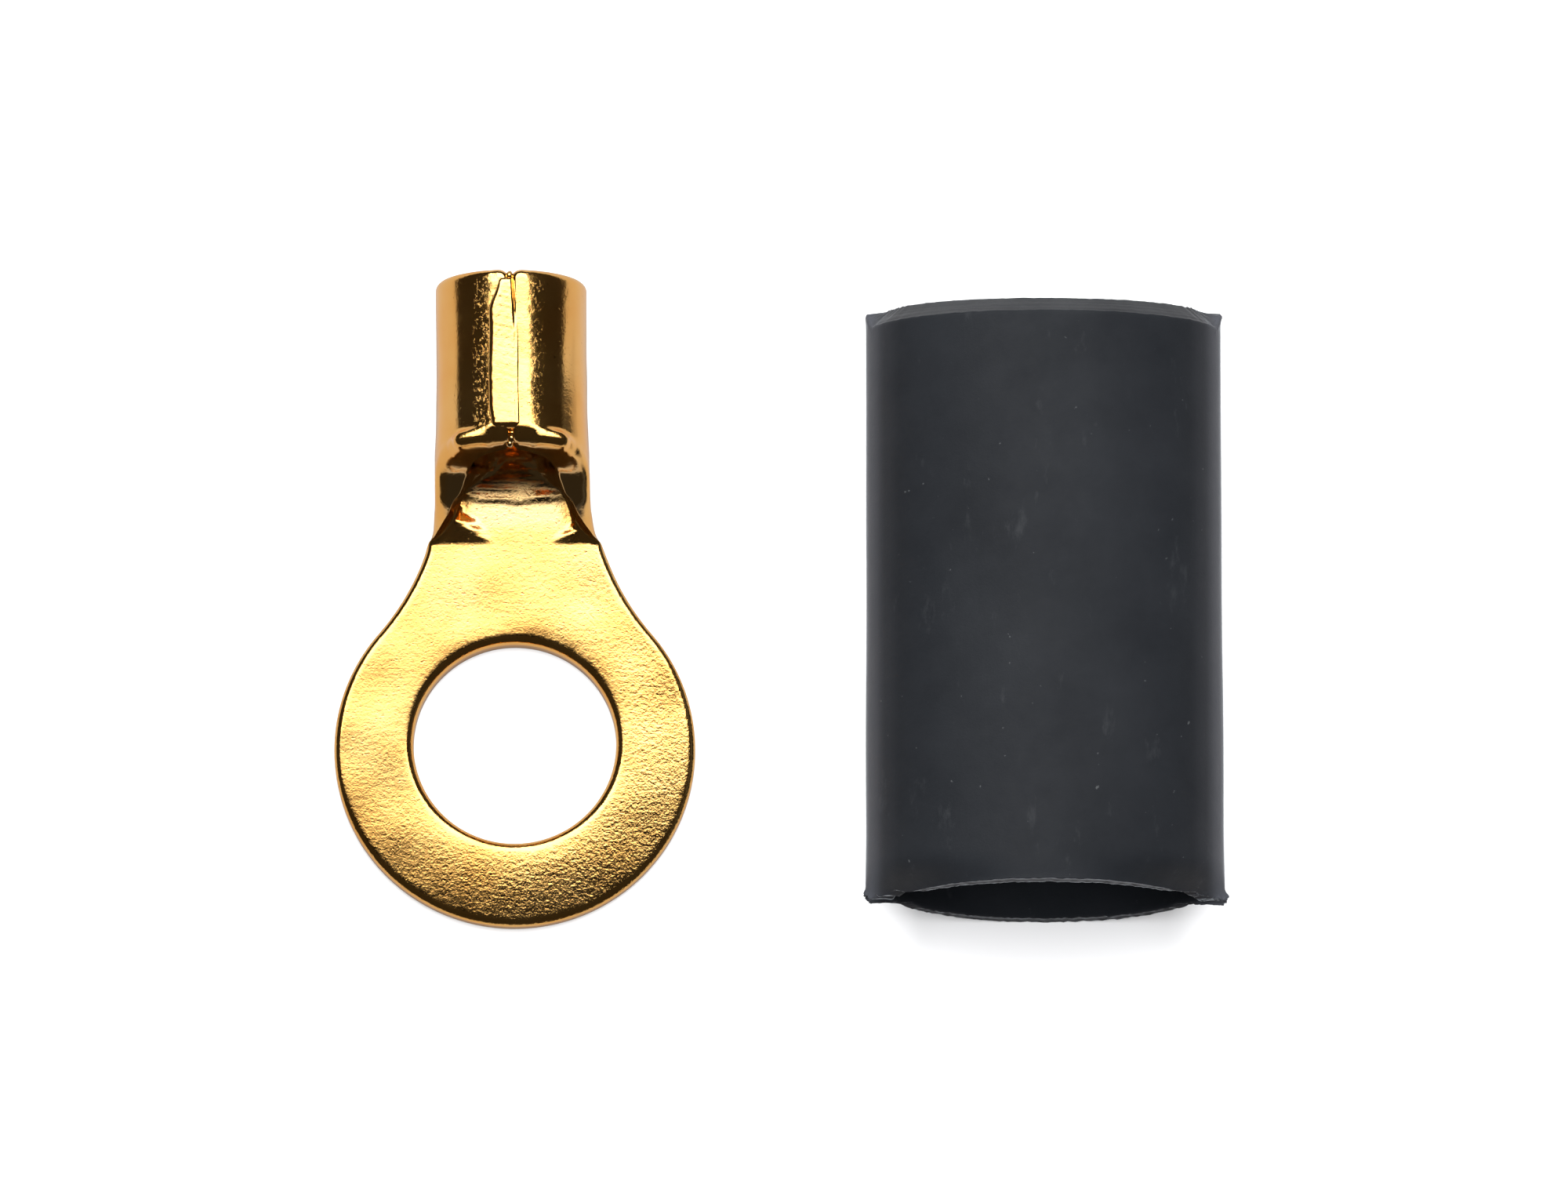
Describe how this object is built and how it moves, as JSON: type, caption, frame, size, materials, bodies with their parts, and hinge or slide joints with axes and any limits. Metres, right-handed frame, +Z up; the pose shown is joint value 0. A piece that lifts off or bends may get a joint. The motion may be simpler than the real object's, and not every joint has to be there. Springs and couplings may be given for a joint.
{
  "type": "heat shrink ring terminal",
  "caption": "Gold plated ring terminal with a round ring tongue, scooped neck and brazed-seam wire barrel, with its loose oval heat shrink sleeve lying beside it.",
  "frame": {"origin": "centre of the stud hole on the tongue's seating face, which rests on the table", "axes": "+Z up out of the stud hole, +Y from the stud hole towards the wire barrel and out of its wire end, +X across to the sleeve lying parallel beside it"},
  "size_m": [0.0369, 0.0267, 0.0088],
  "materials": {
    "gold_plate": "polished",
    "shrink_tube": "satin"
  },
  "bodies": {
    "root": {"ring_terminal": "gold_plate", "heat_shrink_sleeve": "shrink_tube"}
  },
  "joints": []
}
